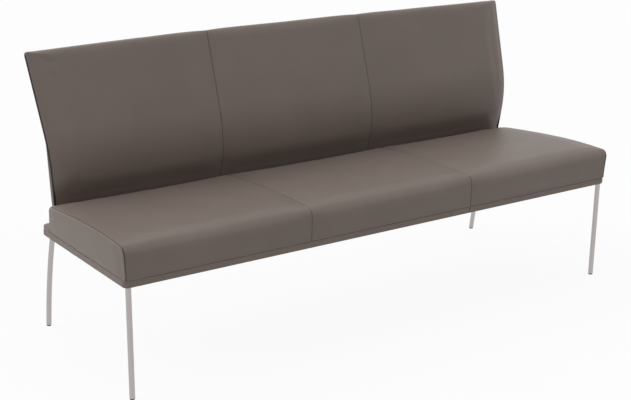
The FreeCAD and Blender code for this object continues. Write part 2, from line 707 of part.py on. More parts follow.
def build_back_foam(parts):
    """Foam in front of the webbing and behind the uprights."""
    room = LEATHER + SOFT_GAP

    def front_pad(x, share):
        return pad_slice(x, room, WEBBING_DEPTH - SOFT_GAP, BACK_CROWN * share, 0.0)

    def rear_pad(x, share):
        return pad_slice(x, UPRIGHT_REAR + SOFT_GAP, BACK_THICKNESS - room, 0.0, BACK_REAR_CROWN * share)

    parts["back_front_foam"] = fuse([back_panel(index, front_pad, room) for index in range(3)])
    parts["back_rear_foam"] = fuse([back_panel(index, rear_pad, room) for index in range(3)])


def back_bar(points, x0, x1):
    """Bar of a back outline between two places along the bench."""
    return Part.Face(outline(points, upright_plane(x0))).extrude(V(x1 - x0, 0, 0))


def upright_places():
    """Places along the bench of the four uprights."""
    outer = BACK_LENGTH / 2 - LEATHER - UPRIGHT_END_ROOM - FOOT_PLATE_HALF
    return {"outer_left": -outer, "inner_left": -outer / 3, "inner_right": outer / 3, "outer_right": outer}


def back_bolt_places():
    """Centres of the bolts that hold the uprights to the rear rail."""
    sides = (-BACK_BOLT_HALF, BACK_BOLT_HALF)
    return [(x + side, BACK_BOLT_Y) for x in upright_places().values() for side in sides]


def back_upright(x, top):
    """Bent rectangular tube with its foot plate, a welded piece."""
    foot = BASE_TOP + FOOT_PLATE_THICKNESS
    half = UPRIGHT_WIDTH / 2
    tube = back_bar(back_slice(UPRIGHT_FRONT, UPRIGHT_REAR, foot, top), x - half, x + half)
    bore_points = back_slice(UPRIGHT_FRONT + UPRIGHT_WALL, UPRIGHT_REAR - UPRIGHT_WALL, foot, top)
    tube = tube.cut(back_bar(bore_points, x - half + UPRIGHT_WALL, x + half - UPRIGHT_WALL))
    plate = box(x - FOOT_PLATE_HALF, x + FOOT_PLATE_HALF, FOOT_PLATE_FRONT, FOOT_PLATE_REAR, BASE_TOP, foot)
    plate = plate.cut(bolt_holes(back_bolt_places(), BACK_BOLT + HOLE_ROOM, BASE_TOP, foot))
    return tube.fuse(plate).removeSplitter()


def build_back_frame(parts):
    """Uprights, top rail, webbing and the bolts of the back."""
    rail_top = TOP_LENGTH - LEATHER - TOP_RAIL_ROOM
    rail_foot = rail_top - TOP_RAIL_HEIGHT
    places = upright_places()
    for name, x in places.items():
        parts[f"back_upright_{name}"] = back_upright(x, rail_foot)
    end = places["outer_right"] + UPRIGHT_WIDTH / 2
    wall = UPRIGHT_WALL
    rail_points = up_slice(UPRIGHT_FRONT, UPRIGHT_REAR, rail_foot, rail_top)
    bore_points = up_slice(UPRIGHT_FRONT + wall, UPRIGHT_REAR - wall, rail_foot + wall, rail_top - wall)
    parts["back_top_rail"] = back_bar(rail_points, -end, end).cut(back_bar(bore_points, -end, end))
    parts["back_webbing"] = group([back_bar(points, -end, end) for points in strap_outlines(rail_foot)])
    foot = BASE_TOP + FOOT_PLATE_THICKNESS
    reach = FOOT_PLATE_THICKNESS + RAIL_WALL + NUT_HEIGHT
    parts["back_bolts"] = group([bolt(x, y, foot, BACK_BOLT, reach, -1) for x, y in back_bolt_places()])
    parts["back_weld_nuts"] = group(
        [nut(x, y, BASE_TOP - RAIL_WALL, BACK_BOLT, -1) for x, y in back_bolt_places()])


def up_slice(front, rear, low, high):
    """Points of a bar between two depths and two lengths up the straight top of the back."""
    return [back_up(front, low), back_up(front, high), back_up(rear, high), back_up(rear, low)]


def strap_outlines(rail_foot):
    """Elastic straps in front of the uprights: one on their straight foot, the rest up their straight top."""
    high = back_turn(WEBBING_DEPTH, -FOOT_LEAN)[1] - WEBBING_DROP
    low = high - WEBBING_WIDTH
    depths = (WEBBING_DEPTH, WEBBING_DEPTH, UPRIGHT_FRONT, UPRIGHT_FRONT)
    outlines = [[back_at(depth, z) for depth, z in zip(depths, (low, high, high, low))]]
    count = int(rail_foot // WEBBING_PITCH)
    for index in range(count):
        start = (index + 0.5) * rail_foot / count - WEBBING_WIDTH / 2
        outlines.append(up_slice(WEBBING_DEPTH, UPRIGHT_FRONT, start, start + WEBBING_WIDTH))
    return outlines


def main():
    parts = {}
    build_legs(parts)
    build_base_frame(parts)
    build_suspension(parts)
    build_seat(parts)
    build_band(parts)
    build_back_frame(parts)
    build_back_foam(parts)
    build_back_covers(parts)
    os.makedirs("parts", exist_ok=True)
    for name, shape in parts.items():
        shape.exportStep(f"parts/{name}.step")
        print(name, shape.ShapeType, len(shape.Solids), shape.isValid(), round(shape.Volume / 1000, 1))


main()
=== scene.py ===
"""Dining banquette: a leather bench for three with a slim leaning back, on four round steel legs.

Metres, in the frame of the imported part: +Z up, +X along the bench, +Y to the rear.
"""
import json
import math

import bmesh
import bpy
from mathutils import Euler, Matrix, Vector, noise


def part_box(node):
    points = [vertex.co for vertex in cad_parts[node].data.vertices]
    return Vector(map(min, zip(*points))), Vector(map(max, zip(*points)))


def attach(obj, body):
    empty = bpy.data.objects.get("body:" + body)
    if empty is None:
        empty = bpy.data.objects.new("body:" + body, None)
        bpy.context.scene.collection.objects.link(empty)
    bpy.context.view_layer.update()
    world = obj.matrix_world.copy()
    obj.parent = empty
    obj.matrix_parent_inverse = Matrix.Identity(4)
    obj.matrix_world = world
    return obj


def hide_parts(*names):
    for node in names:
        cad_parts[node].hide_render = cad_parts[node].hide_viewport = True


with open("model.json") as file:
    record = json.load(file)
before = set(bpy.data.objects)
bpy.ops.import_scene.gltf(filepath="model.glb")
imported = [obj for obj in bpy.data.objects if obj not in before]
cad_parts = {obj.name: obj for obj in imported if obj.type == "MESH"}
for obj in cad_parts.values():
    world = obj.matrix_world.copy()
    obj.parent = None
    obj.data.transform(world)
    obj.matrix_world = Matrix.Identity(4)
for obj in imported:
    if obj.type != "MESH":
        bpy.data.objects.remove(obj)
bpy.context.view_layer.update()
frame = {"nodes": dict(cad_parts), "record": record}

MM = 0.001

# Places read from the frame
SEAT_LOW, SEAT_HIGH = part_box("seat_cover_middle")
FRONT = SEAT_LOW.y
PAD_REAR = SEAT_HIGH.y
BASE_TOP = SEAT_LOW.z
SEAT_TOP = SEAT_HIGH.z
SEAT_SEAM = SEAT_HIGH.x
PAD_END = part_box("seat_cover_right")[1].x
BACK_SEAMS = [corner.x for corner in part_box("back_cover_middle")]
BACK_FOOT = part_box("back_cover_middle")[0].z
BAND_LOW, BAND_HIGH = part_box("base_band_front")
BAND_END = BAND_HIGH.x
BAND_FRONT = BAND_LOW.y
BAND_FOOT = BAND_LOW.z
BAND_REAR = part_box("base_band_rear")[1].y
DUST_LOW, DUST_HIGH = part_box("dust_cover")

# Meshes
SHARP_ANGLE = math.radians(50)  # edges that turn more than this stay sharp
STUFFING_FRAMES = 20            # length of the simulation that blows a pad up
POINT_ORDER = Vector((1, 37, 1009))     # sorts points by place, so that each run takes them in the same order
CUT_MERGE = 0.01 * MM           # a cut uses the points that it passes nearer than this
TOUCH = 0.2 * MM                # two places nearer than this are one
CAP_REACH = 2 * MM              # how near to the flat end of a pad the edges round it lie

# Seat pad
CREVICE = 10 * MM               # how far the pad stops short of the foot of the back
PAD_EDGE_RADIUS = 22 * MM
PAD_REAR_RADIUS = 14 * MM
PAD_FOOT_RADIUS = 2 * MM
PAD_SKIRT = 7 * MM              # how far the leather reaches down over the base
PAD_SKIRT_DEPTH = 14 * MM
PAD_UNDERCUT = 3.5 * MM         # how far the front face draws in towards the base
PAD_FRONT_FALL = 5 * MM         # from the crown down to the front edge
PAD_REAR_FALL = 20 * MM         # from the crown down to the rear edge
PAD_CROWN_PLACE = 0.43          # where the crown lies, from front to rear
PAD_SLACK = 3 * MM              # how much lower the cover is cut than the foam lifts it
PAD_LIFT = 5 * MM               # the most that the foam moves a point of the cover
PAD_PITCH = 11 * MM             # size of a face of the pads
PAD_UNEVEN = 0.5 * MM           # small waves of the top
PAD_UNEVEN_PER_METRE = 14
PAD_FRONT_REACH = 60 * MM       # how far behind the front face a seam still draws it in
SEWN_EDGE = 1 * MM              # the border of a panel that stays where it is sewn
PAD_SEWN_FOOT = 14 * MM         # and the foot and the rear of a seat panel that stay
PAD_SEWN_REAR = 4 * MM

# Seams and ends of the seat. A dip is how deep the pad is drawn in, at the front and at the rear
SEAM_DIP = (3 * MM, 3 * MM)
END_DIP = {-1: (5 * MM, 5 * MM), 1: (5 * MM, 14 * MM)}      # at the left and right ends
DIP_REACH = 45 * MM             # how far from the seam the dip is felt
SEAM_ROUND = 2.0 * MM           # the rolled edge of the leather at a seam
SEAM_GAP = 1.3 * MM             # width of the valley between two rolled edges
SEAM_DEPTH = 2.5 * MM           # from the leather down to the sewn edge in the valley
END_GAP = 2.4 * MM              # the valley at the end panels
END_STEP = 1.0 * MM             # how much lower the end panel lies there
END_WALL = 2.3 * MM             # thickness of an end panel at its border
END_ROUND = 0.9 * END_WALL      # the rolled edge at the end panels
END_SWELL = 3.5 * MM            # how much farther an end panel stands out inside
END_SWELL_FOOT = 14 * MM        # over these lengths it swells up from its foot, its top and its sides
END_SWELL_TOP = 40 * MM
END_SWELL_SIDE = 60 * MM
END_REAR = 5 * MM               # how far its foot reaches behind the pad
END_LEAN = 19 * MM              # how far its rear edge leans forwards
END_TAPER = {-1: 4 * MM, 1: 6 * MM}     # how far the ends of the seat draw in towards the base
END_TAPER_REACH = 60 * MM
END_FILL = 1.8 * MM             # how much shallower the valley is at the foot of an end's front
END_FILL_DEPTH = 20 * MM        # that ends this far behind the front
END_FILL_FADE = 12 * MM
END_FILL_FOOT = 10 * MM         # and starts to fade this far above the base
END_FILL_RISE = 45 * MM

# Back, a bent slab: a straight foot, a round lumbar and a straight top
BACK_THICKNESS = 40.6 * MM
BACK_OVERHANG = 12 * MM         # how far the waist stands in front of the rear of the seat pad
BACK_WAIST_RISE = 82 * MM       # crown of the seat up to the waist
BACK_RADIUS = 380 * MM
BACK_FOOT_LEAN = math.radians(8)
BACK_LEAN = math.radians(17)
BACK_EDGE_RADIUS = 13 * MM
BACK_CREST = 887 * MM           # top of the back
BACK_FOOT_END = {-1: 859 * MM, 1: 880 * MM}     # how far the back reaches to each side at its foot
BACK_CREST_END = {-1: 899 * MM, 1: 910 * MM}    # and at its top
BACK_END_ROUND = 3 * MM
BACK_END_REACH = 42 * MM        # over this length both faces draw in to the piping at an end
BACK_END_CUTS = 8
BACK_CUT_MERGE = 0.3 * MM
BACK_FRONT_FALL = 15 * MM       # how far the front draws in
BACK_REAR_FALL = 16 * MM        # and the rear
REAR_FALL_FOOT = 40 * MM        # the rear starts to draw in this far up, and over this length
REAR_FALL_RISE = 110 * MM
BACK_TUCK = 10 * MM             # how far the front draws in behind the seat pad
TUCK_FOOT = 75 * MM             # fully up to here, then less over this length
TUCK_RISE = 70 * MM
BACK_SWELL = 3 * MM             # crown of a panel before it is stuffed
SWELL_FOOT = 80 * MM            # none up to here, then more over this length
SWELL_RISE = 60 * MM
BACK_DIP_REACH = 28 * MM        # how far from a seam the crown is lower
BACK_TOP_REACH = 60 * MM        # the length below the crest that counts as its top
BACK_TOP_SWELL = 2 * MM
BACK_UNEVEN = 0.4 * MM          # small waves of the faces
BACK_UNEVEN_PER_METRE = 12
BACK_SEWN_FOOT = 60 * MM        # the foot of a panel that stays where it is sewn
BACK_LIFT_FRONT = 3 * MM        # the most that the foam moves a point of the front and of the rear
BACK_LIFT_REAR = 1.5 * MM
CORNER_DROOP = {-1: 8.5 * MM, 1: 3 * MM}    # how far the leather sinks at the left and right top corners
CORNER_REACH = 450 * MM
WELT_RADIUS = 3.6 * MM
WELT_SET_BACK = 7 * MM          # rear face of the back to the axis of the piping, along the top
WELT_SINK = 1.2 * MM            # top of the back down to that axis
WELT_START = 4 * MM             # how far above the foot the piping starts
WELT_TURN = 8 * MM              # radius of its turn at the top corners
WELT_RISE_STEPS = 30
WELT_RUN_STEPS = 45

# Base: the leather band, the leather over the rear rail and the dust sheet
LEATHER = 1.4 * MM
BAND_CORNER = 16 * MM
BAND_PITCH = 9 * MM             # size of a face of the band
BAND_LEVELS = (0.03, 0.07, 0.12, 0.22, 0.36, 0.52, 0.68, 0.8, 0.88, 0.93, 0.97, 1.0)    # its rows of points
BAND_HEM = 12 * MM
BAND_BULGE = 1.2 * MM           # how far the leather stands off the frame
BAND_RIGHT_PUFF = 1.8 * MM      # how much farther at the right end
BAND_TURN = 0.12                # share of the height that turns in, below and above
BAND_EDGE_ROUND = 2.5 * MM      # how far the face turns in at its lower edge
BAND_LIP = 2.2 * MM             # and under the seat pad
BAND_SMOOTH_REACH = 90 * MM     # from the left front corner, where the fold is pulled smooth
BAND_SEAM_WIDTH = 1.6 * MM      # half of the groove of its one seam
BAND_SEAM_DEPTH = 2 * MM
FRONT_WAVE = 1.2 * MM           # waves of the fold along the front
FRONT_WAVES_PER_METRE = 9
PUCKER = 3.2 * MM               # waves of the band at the ends of the seat
PUCKERS_PER_METRE = 26
PUCKER_BULGE = 0.35             # how far a wave stands out, as a share of its height
BASE_SAG = 4 * MM               # how much lower the band hangs at the rear
LEDGE_SHARE = 0.8               # how much of the rear rail's height its leather covers
LEDGE_ROUND = 4 * MM
CLOTH = 0.6 * MM
CLOTH_DROP = 0.4 * MM           # top of the space for the dust sheet down to its middle
CLOTH_SAG = 2.5 * MM
CLOTH_SAG_REACH = 180 * MM      # how far from the staples it has sagged fully
CLOTH_UNEVEN = 0.4 * MM
CLOTH_UNEVEN_PER_METRE = 9

# Studio, and the camera that was fitted to the photograph: millimetres for the lens, degrees for the turns
WORLD_LIGHT = 0.02
FLOOR_HALF = 12
FLOOR_GLOW = 0.93               # how much of the floor's look is plain white, the rest keeps the shadow
CAMERA_PLACE = (-2.2348, -3.2212, 1.5545)
CAMERA_YAW = 33.8917
CAMERA_PITCH = 17.1642
CAMERA_LENS = 72.57
CAMERA_SENSOR = 36

# Worked out from these
SEAT_REAR = PAD_REAR - CREVICE
WAIST_Y = PAD_REAR - BACK_OVERHANG
WAIST_Z = SEAT_TOP + BACK_WAIST_RISE
FOOT_LENGTH = (WAIST_Z - BACK_RADIUS * math.sin(BACK_FOOT_LEAN) - BACK_FOOT) / math.cos(BACK_FOOT_LEAN)
LUMBAR_LENGTH = BACK_RADIUS * (BACK_FOOT_LEAN + BACK_LEAN)
TOP_LENGTH = (BACK_CREST - WAIST_Z - BACK_RADIUS * math.sin(BACK_LEAN)) / math.cos(BACK_LEAN)
BACK_LENGTH = FOOT_LENGTH + LUMBAR_LENGTH + TOP_LENGTH
BAND_HEIGHT = BASE_TOP - PAD_SKIRT - BAND_FOOT


def linear(hex_color):
    """Linear RGBA of an sRGB hex colour."""
    channels = [int(hex_color[i:i + 2], 16) / 255 for i in (1, 3, 5)]
    return tuple(c / 12.92 if c <= 0.04045 else ((c + 0.055) / 1.055) ** 2.4 for c in channels) + (1.0,)


def plug(tree, node, inputs):
    """Sets inputs of a node, by name or as _ and a number, each to another node's output or a plain value."""
    for name, value in inputs.items():
        socket = node.inputs[int(name[1:])] if name[1:].isdigit() else node.inputs[name.replace("_", " ")]
        if isinstance(value, bpy.types.NodeSocket):
            tree.links.new(value, socket)
        else:
            socket.default_value = value


def add(tree, kind, settings=None, **inputs):
    """Adds a node with its settings and inputs."""
    node = tree.nodes.new(kind)
    for name, value in (settings or {}).items():
        setattr(node, name, value)
    plug(tree, node, inputs)
    return node


def new_material(name):
    """A node material, with its tree, its shader and the place on the object."""
    material = bpy.data.materials.new(name)
    material.use_nodes = True
    tree = material.node_tree
    place = add(tree, "ShaderNodeTexCoord").outputs["Object"]
    return material, tree, tree.nodes["Principled BSDF"], place


def leather(name, light, dark, roughness):
    """Smooth corrected-grain cowhide, pigment finished: an even colour with a soft satin sheen."""
    material, tree, shader, place = new_material(name)
    # Cloudy dye over a hand's width, so that a large panel isn't one flat colour
    cloud = add(tree, "ShaderNodeTexNoise", Vector=place, Scale=1 / (160 * MM), Detail=3.0, Roughness=0.55)
    color = add(tree, "ShaderNodeMix", {"data_type": "RGBA"}, Factor=cloud.outputs[0],
                _6=linear(dark), _7=linear(light))
    # Pores: real ones are under a millimetre, drawn at 1.8 mm so that they show
    pores = add(tree, "ShaderNodeTexVoronoi", {"feature": "DISTANCE_TO_EDGE"}, Vector=place,
                Scale=1 / (1.8 * MM))
    soft = add(tree, "ShaderNodeMapRange", Value=pores.outputs["Distance"], From_Max=0.12)
    pore_bump = add(tree, "ShaderNodeBump", Height=soft.outputs[0], Strength=0.10, Distance=0.25 * MM)
    # Fine creases of the hide, which also make it a little more or less glossy
    creases = add(tree, "ShaderNodeTexNoise", Vector=place, Scale=1 / (14 * MM), Detail=4.0, Roughness=0.6)
    bump = add(tree, "ShaderNodeBump", Height=creases.outputs[0], Strength=0.12, Distance=1.5 * MM,
               Normal=pore_bump.outputs[0])
    gloss = add(tree, "ShaderNodeMapRange", Value=creases.outputs[0], To_Min=roughness - 0.05,
                To_Max=roughness + 0.06)
    plug(tree, shader, {"Base Color": color.outputs[2], "Roughness": gloss.outputs[0],
                        "Normal": bump.outputs[0], "IOR": 1.5, "Specular IOR Level": 0.35})
    return material


def brushed_steel(name, light, dark, roughness):
    """Stainless tube, brushed lengthwise: fine bright and dark lines that run down the leg."""
    material, tree, shader, place = new_material(name)
    # Brush lines, coarser than real ones so that they show: 0.9 mm apart, drawn out to 60 mm along the leg
    stretch = add(tree, "ShaderNodeMapping", Vector=place,
                  Scale=(1 / (0.9 * MM), 1 / (0.9 * MM), 1 / (60 * MM)))
    lines = add(tree, "ShaderNodeTexNoise", Vector=stretch.outputs[0], Scale=1.0, Detail=2.0)
    color = add(tree, "ShaderNodeMix", {"data_type": "RGBA"}, Factor=lines.outputs[0],
                _6=linear(dark), _7=linear(light))
    gloss = add(tree, "ShaderNodeMapRange", Value=lines.outputs[0], To_Min=roughness - 0.07,
                To_Max=roughness + 0.08)
    bump = add(tree, "ShaderNodeBump", Height=lines.outputs[0], Strength=0.08, Distance=0.1 * MM)
    plug(tree, shader, {"Base Color": color.outputs[2], "Roughness": gloss.outputs[0],
                        "Normal": bump.outputs[0], "Metallic": 1.0})
    return material


def grained(name, light, dark, grain, roughness, metallic=0.0, stretch=(1, 1, 1), bump_depth=0.2):
    """A plain finish with a grain of a real size, drawn longer along one axis where stretch says."""
    material, tree, shader, place = new_material(name)
    scale = add(tree, "ShaderNodeMapping", Vector=place, Scale=tuple(1 / (grain * s) for s in stretch))
    speck = add(tree, "ShaderNodeTexNoise", Vector=scale.outputs[0], Scale=1.0, Detail=3.0)
    color = add(tree, "ShaderNodeMix", {"data_type": "RGBA"}, Factor=speck.outputs[0],
                _6=linear(dark), _7=linear(light))
    gloss = add(tree, "ShaderNodeMapRange", Value=speck.outputs[0], To_Min=roughness - 0.08,
                To_Max=roughness + 0.08)
    bump = add(tree, "ShaderNodeBump", Height=speck.outputs[0], Strength=bump_depth, Distance=grain / 4)
    plug(tree, shader, {"Base Color": color.outputs[2], "Roughness": gloss.outputs[0],
                        "Normal": bump.outputs[0], "Metallic": metallic})
    return material


SEAT_LEATHER = leather("pigmented_cowhide", "#776b64", "#6c615a", 0.46)
# Painted shade: a near-black leather for the sewn edges deep in the seam valleys, so that the valleys read
# darker than their own occlusion makes them
SEAM_PAINTED_SHADE = leather("seam_valley_painted_shade", "#352e2a", "#29231f", 0.7)
WELT_LEATHER = leather("black_piping_leather", "#231f1d", "#171413", 0.42)
LEG_STEEL = brushed_steel("brushed_stainless_tube", "#bfbab7", "#a6a19e", 0.34)
FRAME_STEEL = grained("powder_coated_steel", "#2b2b2d", "#232325", 0.8 * MM, 0.5)
ZINC = grained("zinc_plated_steel", "#c9ccd0", "#aab0b6", 1.5 * MM, 0.35, metallic=1.0)
SPRING_STEEL = grained("drawn_spring_wire", "#7c7f84", "#63666a", 1.0 * MM, 0.4, metallic=1.0)
GLIDE_PLASTIC = grained("moulded_polyamide", "#242426", "#1b1b1d", 0.6 * MM, 0.6)
PLYWOOD = grained("birch_plywood", "#cdb08a", "#b2926a", 2 * MM, 0.65, stretch=(20, 1, 1))
DUST_CLOTH = grained("spunbond_dust_cloth", "#2a2a2b", "#1c1c1d", 1.2 * MM, 0.9, bump_depth=0.5)


def clamped(value):
    """The value, held between 0 and 1."""
    return min(max(value, 0.0), 1.0)


def smooth_step(value):
    """0 to 1 with soft ends."""
    value = clamped(value)
    return value * value * (3 - 2 * value)


def side_of(x):
    """-1 for the left half of the bench, 1 for the right half."""
    return 1 if x > 0 else -1


def finish_piece(name, bm, material, nodes=()):
    """Makes a piece of a bmesh. It rides on the bench and stands for the named nodes."""
    bmesh.ops.recalc_face_normals(bm, faces=bm.faces)
    mesh = bpy.data.meshes.new(name)
    bm.to_mesh(mesh)
    bm.free()
    for face in mesh.polygons:
        face.use_smooth = True
    mesh.set_sharp_from_angle(angle=SHARP_ANGLE)
    mesh.materials.append(material)
    piece = bpy.data.objects.new(name, mesh)
    bpy.context.scene.collection.objects.link(piece)
    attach(piece, "root")
    if nodes:
        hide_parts(*nodes)
    return piece


def thicken(piece, name, thickness, offset):
    """Gives a sheet its thickness, inwards (offset -1) or to both sides (0)."""
    wall = piece.modifiers.new(name, "SOLIDIFY")
    wall.thickness = thickness
    wall.offset = offset


def round_off(bm, geom, radius, segments, affect="EDGES", clamp=False):
    """Rounds edges, or the corners of a flat face."""
    bmesh.ops.bevel(bm, geom=geom, offset=radius, offset_type="OFFSET", segments=segments, profile=0.5,
                    affect=affect, material=-1, clamp_overlap=clamp)


def shorten_edges(bm, pitch):
    """Divides the edges that are longer than pitch."""
    for edge in list(bm.edges):
        cuts = int(edge.calc_length() / pitch)
        if cuts:
            bmesh.ops.subdivide_edges(bm, edges=[edge], cuts=cuts)


def cut_across(bm, place, normal, merge=CUT_MERGE):
    """Cuts a row of edges where a plane passes through a mesh."""
    bmesh.ops.bisect_plane(bm, geom=bm.verts[:] + bm.edges[:] + bm.faces[:], dist=merge,
                           plane_co=place, plane_no=normal)


def profile(points, x, rounds, pitch):
    """A bmesh with one face: the polygon of (y, z) points at x, with rounded corners and short edges."""
    bm = bmesh.new()
    corners = [bm.verts.new((x, y, z)) for y, z in points]
    bm.faces.new(corners)
    for corner, (radius, segments) in zip(corners, rounds):
        if radius:
            round_off(bm, [corner], radius, segments, affect="VERTICES")
    shorten_edges(bm, pitch)
    return bm


def draw_out(bm, length, pitch):
    """Extrudes the one face of a profile along the bench, in short steps."""
    steps = max(1, round(length / pitch))
    bmesh.ops.spin(bm, geom=bm.faces[:] + bm.edges[:] + bm.verts[:], angle=0, axis=(1, 0, 0), cent=(0, 0, 0),
                   dvec=(length / steps, 0, 0), steps=steps)
    bmesh.ops.remove_doubles(bm, verts=bm.verts, dist=0.05 * MM)
    bmesh.ops.recalc_face_normals(bm, faces=bm.faces)


def inflate(cover, most, sewn):
    """Moves the points of a closed cover as pressure inside it does, each by no more than most(point).
    The points for which sewn(point) is true stay."""
    mesh = cover.data
    group = cover.vertex_groups.new(name="sewn")
    group.add([v.index for v in mesh.vertices if sewn(v.co)], 1.0, "REPLACE")
    cloth = cover.modifiers.new("stuffing", "CLOTH")
    cloth.settings.quality = 4
    cloth.settings.mass = 0.4
    cloth.settings.tension_stiffness = 15
    cloth.settings.compression_stiffness = 15
    cloth.settings.shear_stiffness = 5
    cloth.settings.bending_stiffness = 1.0
    cloth.settings.use_pressure = True
    cloth.settings.uniform_pressure_force = 4
    cloth.settings.vertex_group_mass = "sewn"
    cloth.settings.effector_weights.gravity = 0
    for step in range(1, STUFFING_FRAMES + 1):
        bpy.context.scene.frame_set(step)
    swollen = cover.evaluated_get(bpy.context.evaluated_depsgraph_get()).data
    moves = [b.co - a.co for a, b in zip(mesh.vertices, swollen.vertices)]
    cover.modifiers.remove(cloth)
    bpy.context.scene.frame_set(1)
    for vertex, move in zip(mesh.vertices, moves):
        vertex.co += move * min(1.0, most(vertex.co) / max(move.length, 1e-9))


def stuff(name, bm, most, sewn):
    """Blows a closed leather cover up, as its foam does. Returns a bmesh with each face split in four."""
    crease = bm.edges.layers.float.new("crease_edge")
    for edge in bm.edges:
        edge.smooth = True
        if len(edge.link_faces) == 2 and edge.calc_face_angle(0) > SHARP_ANGLE:
            edge[crease] = 1.0
    bm.verts.sort(key=lambda v: v.co.dot(POINT_ORDER))
    bm.edges.sort(key=lambda e: (e.verts[0].co + e.verts[1].co).dot(POINT_ORDER))
    bm.faces.sort(key=lambda f: f.calc_center_median().dot(POINT_ORDER))
    mesh = bpy.data.meshes.new(name)
    bm.to_mesh(mesh)
    bm.free()
    cover = bpy.data.objects.new(name, mesh)
    bpy.context.scene.collection.objects.link(cover)
    inflate(cover, most, sewn)
    split = cover.modifiers.new("split", "SUBSURF")
    split.levels = split.render_levels = 1
    result = bmesh.new()
    result.from_mesh(cover.evaluated_get(bpy.context.evaluated_depsgraph_get()).data)
    bpy.data.objects.remove(cover)
    return result


def roll_end(bm, x, radius, segments):
    """Rounds the edges that bound the flat end of a pad at x, as leather rolls over to a seam.
    The radius is the most that it gets: the short faces round the rim hold it to less."""
    def bounds_end(edge):
        flat = [abs(f.normal.x) > 0.95 and abs(f.calc_center_median().x - x) < CAP_REACH
                for f in edge.link_faces]
        near = all(abs(v.co.x - x) < CAP_REACH for v in edge.verts)
        return len(flat) == 2 and sum(flat) == 1 and near

    round_off(bm, [e for e in bm.edges if bounds_end(e)], radius, segments, clamp=True)


def seat_height(z):
    """0 at the foot of the seat pad, 1 at its top."""
    return smooth_step((z - BASE_TOP) / (SEAT_TOP - BASE_TOP))


def seat_outline(drop, under, lean=0.0):
    """Corners of the seat pad across the bench above the points under it, and how they are rounded.
    drop lowers the front and the rear of its top, and lean brings its rear edge forwards."""
    rear_top = (under[-1][0] - lean, SEAT_TOP - PAD_REAR_FALL - drop[1])
    front_top = (FRONT, SEAT_TOP - PAD_FRONT_FALL - drop[0])
    plain = [(0, 0)] * (len(under) - 1)
    rounds = [(PAD_FOOT_RADIUS, 2)] + plain + [(PAD_REAR_RADIUS, 5), (PAD_EDGE_RADIUS, 8)]
    return under + [rear_top, front_top], rounds


def crown(point):
    """Lifts the top of the seat pad to its crown, which lies a little in front of the middle."""
    way = (point.y - FRONT) / (SEAT_REAR - FRONT)
    reach = PAD_CROWN_PLACE if way < PAD_CROWN_PLACE else 1 - PAD_CROWN_PLACE
    share = 1 - ((way - PAD_CROWN_PLACE) / reach) ** 2
    straight = PAD_FRONT_FALL + (PAD_REAR_FALL - PAD_FRONT_FALL) * PAD_CROWN_PLACE
    return straight * max(share, 0.0) * seat_height(point.z)


def seam_dip(point, left, right, left_dip, right_dip):
    """How much a panel is drawn in at a point between its two edges."""
    way = clamped((point.y - FRONT) / (SEAT_REAR - FRONT))
    return sum((dip[0] + (dip[1] - dip[0]) * way - PAD_SLACK) * math.exp(-away / DIP_REACH)
               for dip, away in ((left_dip, point.x - left), (right_dip, right - point.x)))


def end_taper(point):
    """How far a point near an end of the seat pad is drawn in along the bench, most at the base."""
    side = side_of(point.x)
    near = smooth_step((abs(point.x) - PAD_END + END_TAPER_REACH) / END_TAPER_REACH)
    return -side * END_TAPER[side] * near * (1 - seat_height(point.z))


def base_line(y):
    """How far the lower edge of the leather sags and waves along the ends of the seat."""
    way = (y - FRONT) / (BAND_REAR - FRONT)
    return -BASE_SAG * way, PUCKER * noise.noise(Vector((3.1, y * PUCKERS_PER_METRE, 5.0)))


def front_wave(x):
    """How far it waves along the front."""
    return FRONT_WAVE * noise.noise(Vector((x * FRONT_WAVES_PER_METRE, 1.0, 5.0)))


def half_gap(x):
    """Half of the valley at a seam of the seat, which is wider at an end panel."""
    return (END_GAP if abs(x) > SEAT_SEAM + SEAM_GAP else SEAM_GAP) / 2


def seat_panel(name, left, right, left_dip, right_dip, nodes):
    """One third of the seat: a closed pad, crowned, drawn in at its seams and blown up by its foam."""
    left += half_gap(left)
    right -= half_gap(right)
    foot = FRONT + PAD_UNDERCUT
    under = [(foot, BASE_TOP - PAD_SKIRT), (foot + PAD_SKIRT_DEPTH, BASE_TOP - PAD_SKIRT),
             (foot + PAD_SKIRT_DEPTH, BASE_TOP), (SEAT_REAR, BASE_TOP)]
    points, rounds = seat_outline((PAD_SLACK, PAD_SLACK), under)
    bm = profile(points, left, rounds, PAD_PITCH)
    draw_out(bm, right - left, PAD_PITCH)
    for vertex in bm.verts:
        dip = seam_dip(vertex.co, left, right, left_dip, right_dip)
        height = seat_height(vertex.co.z)
        front = smooth_step((FRONT + PAD_FRONT_REACH - vertex.co.y) / PAD_FRONT_REACH)
        vertex.co.z += crown(vertex.co) - dip * height
        vertex.co.y += 0.5 * dip * front * math.sin(math.pi * height)
        vertex.co.z += PAD_UNEVEN * height * noise.noise(vertex.co * PAD_UNEVEN_PER_METRE)
        if vertex.co.z < BASE_TOP and vertex.co.y < foot + PAD_SKIRT_DEPTH / 2:
            vertex.co.z += front_wave(vertex.co.x)

    def sewn(point):
        at_edge = min(point.x - left, right - point.x) < SEWN_EDGE
        return at_edge or point.z < BASE_TOP + PAD_SEWN_FOOT or point.y > SEAT_REAR - PAD_SEWN_REAR

    bm = stuff(name, bm, lambda point: PAD_LIFT, sewn)
    for x in (left, right):
        roll_end(bm, x, SEAM_ROUND, 3)
    for vertex in bm.verts:
        vertex.co.x += end_taper(vertex.co)
    piece = finish_piece(name, bm, SEAT_LEATHER, nodes)


